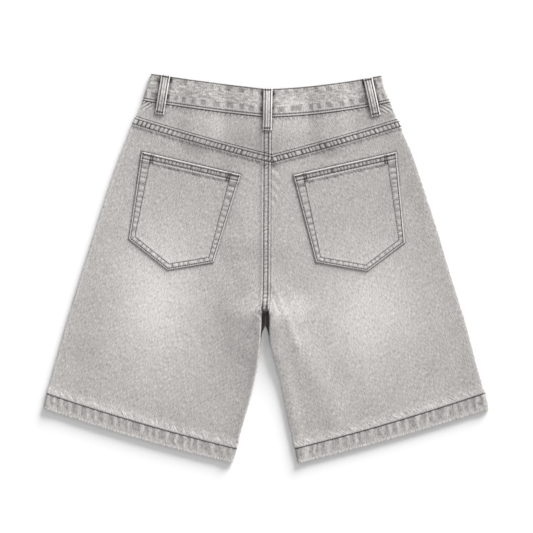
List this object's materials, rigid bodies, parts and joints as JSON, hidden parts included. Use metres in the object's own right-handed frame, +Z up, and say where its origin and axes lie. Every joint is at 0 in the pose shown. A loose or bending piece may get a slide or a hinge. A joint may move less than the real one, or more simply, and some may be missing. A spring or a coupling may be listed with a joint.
{
  "type": "denim shorts",
  "caption": "Knee-length denim shorts laid flat with the back up: waistband with belt loops, yoke, patch pockets, felled seams and turned hems",
  "frame": {"origin": "middle of the laid garment's outline, on the surface it lies on", "axes": "+X to the right of the back view, +Y towards the waist, +Z up from the surface, out of the garment's back"},
  "size_m": [0.6488, 0.5656, 0.0139],
  "materials": {
    "denim": "washed light grey cotton twill, dry and matte, worn pale along its edges",
    "zip_tape": "woven grey zip tape, matte",
    "button_metal": "dull worn metal"
  },
  "bodies": {
    "root": {"back_left": "denim", "back_right": "denim", "yoke_left": "denim", "yoke_right": "denim", "front_left": "denim", "front_right": "denim", "hem_left": "denim", "hem_right": "denim", "pocket_left": "denim", "pocket_right": "denim", "belt_loop_back_left": "denim", "belt_loop_back_centre": "denim", "belt_loop_back_right": "denim", "belt_loop_front_left": "denim", "belt_loop_front_right": "denim", "waistband": "denim", "fly_zip": "zip_tape", "button": "button_metal"}
  },
  "joints": []
}
